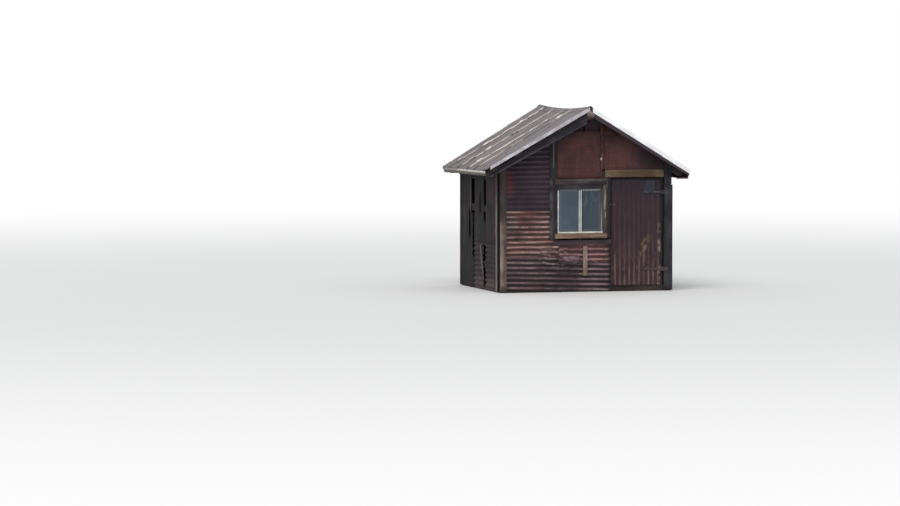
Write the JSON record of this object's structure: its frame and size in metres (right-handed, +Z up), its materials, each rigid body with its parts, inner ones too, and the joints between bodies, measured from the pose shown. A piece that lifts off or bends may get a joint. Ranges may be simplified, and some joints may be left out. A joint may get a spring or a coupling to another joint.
{
  "type": "boathouse",
  "caption": "Small gabled timber boathouse clad in rusted corrugated metal, with a sliding window, a hinged metal-faced door and a sagging metal roof.",
  "frame": {"origin": "centre of the roof's footprint, on the ground under the sills", "axes": "+Z up, -Y out of the front wall with the door, +X to the right seen from the front"},
  "size_m": [2.808, 2.44, 2.502],
  "materials": {
    "frame_timber": "rough sawn, grey-brown, matte",
    "floor_timber": "worn boards, matte",
    "pole_timber": "peeled round timber, matte",
    "roof_metal": "weathered galvanised metal, dull",
    "ridge_metal": "weathered galvanised metal, dull",
    "trim_grey": "weathered, dull",
    "trim_white": "white paint, satin",
    "fascia_timber": "red-brown, worn",
    "board_grey": "weathered, matte",
    "board_dark": "dark, weathered",
    "sheet_rust": "rusted corrugated metal, matte",
    "sheet_dark": "dark rusted corrugated metal, matte",
    "panel_red": "faded red-brown paint, matte",
    "window_metal": "oxidised, dull",
    "window_pane": "clear, dusty",
    "scrap_brown": "rust-stained, weathered",
    "board_light": "light olive-brown, weathered",
    "iron": "rusted, matte",
    "door_metal": "purple-brown, rusted corrugated metal"
  },
  "bodies": {
    "hut": {"sills": "frame_timber", "floor_joists": "frame_timber", "floor_boards": "floor_timber", "wall_posts": "frame_timber", "side_girts": "frame_timber", "wall_studs": "frame_timber", "wall_blocking": "frame_timber", "top_plates": "frame_timber", "tie_beams": "frame_timber", "gable_studs": "frame_timber", "ridge_pole": "pole_timber", "rafters": "frame_timber", "barge_rafters": "board_dark", "roof_battens": "frame_timber", "roof_sheets_left": "roof_metal", "roof_sheets_right": "roof_metal", "ridge_cap": "ridge_metal", "rake_trim_left": "trim_grey", "rake_trim_right": "trim_white", "rake_trims_rear": "trim_grey", "eave_fascias": "fascia_timber", "eave_drips": "trim_grey", "front_corner_board": "board_grey", "front_post_board": "board_dark", "front_sheet_lower": "sheet_rust", "front_sheet_middle": "sheet_rust", "front_sheet_upper": "sheet_dark", "front_sheet_gable": "sheet_dark", "front_sheet_below_window": "sheet_rust", "gable_panel_left": "panel_red", "gable_panel_right": "panel_red", "gable_batten": "board_dark", "gable_scrap": "scrap_brown", "window_apron": "board_dark", "window_frame": "window_metal", "window_sashes": "window_metal", "window_glass": "window_pane", "window_casings": "board_dark", "window_head_board": "board_grey", "window_sill": "board_light", "door_header": "board_light", "door_stops": "frame_timber", "wall_batten": "board_light", "left_wall_panels": "board_grey", "left_wall_sheets": "sheet_rust", "right_wall_panels": "board_grey", "right_wall_sheets": "sheet_rust", "rear_sheets": "sheet_rust", "rear_corner_boards": "board_grey", "rear_gable_panels": "panel_red", "hinge_plates": "iron", "latch_plate": "iron"},
    "door": {"door_frame": "frame_timber", "door_sheet": "door_metal", "door_straps": "iron", "door_patch": "iron", "door_pull": "iron"}
  },
  "joints": [
    {"name": "door_hinge", "type": "hinge", "parent": "hut", "child": "door", "pos_m": [1.059, -1.029, 0], "axis": [0, 0, 1], "range_deg": [0, 120]}
  ]
}
